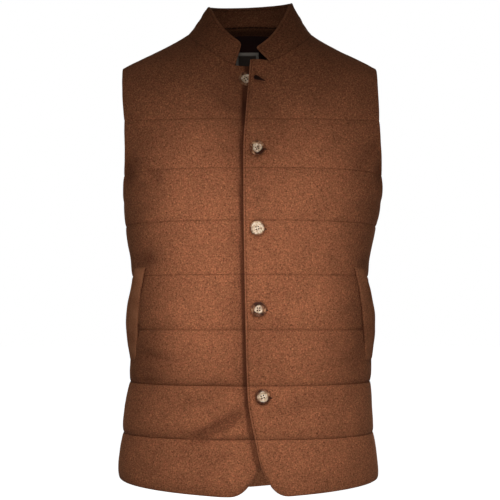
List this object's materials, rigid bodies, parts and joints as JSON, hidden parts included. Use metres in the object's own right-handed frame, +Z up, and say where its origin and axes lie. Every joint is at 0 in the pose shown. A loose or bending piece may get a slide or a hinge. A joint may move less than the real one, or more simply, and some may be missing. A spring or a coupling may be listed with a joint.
{
  "type": "body warmer",
  "caption": "Quilted sleeveless body warmer in melange wool: stand collar, single-breasted lapped front, side welt pockets, dished horn buttons.",
  "frame": {"origin": "between the wearer's shoulders, on the middle plane, just under the neck ends of the two shoulder seams, where the garment hangs from the wearer", "axes": "+Z up towards the collar, -Y out of the buttoned front, +X towards the wearer's left"},
  "size_m": [0.3904, 0.2657, 0.7468],
  "materials": {
    "wool": "brushed two-tone chestnut wool flannel over light padding, matt with a short nap",
    "lining": "near-black smooth lining twill, low sheen",
    "label": "plain grey woven label, matt",
    "button": "mottled brown and cream horn look, polished"
  },
  "bodies": {
    "root": {"back": "wool", "back_lining": "lining", "button_1": "button", "button_2": "button", "button_3": "button", "button_4": "button", "button_5": "button", "collar": "wool", "front_left": "wool", "front_right": "wool", "neck_label": "label", "pocket_welt_left": "wool", "pocket_welt_right": "wool"}
  },
  "joints": []
}
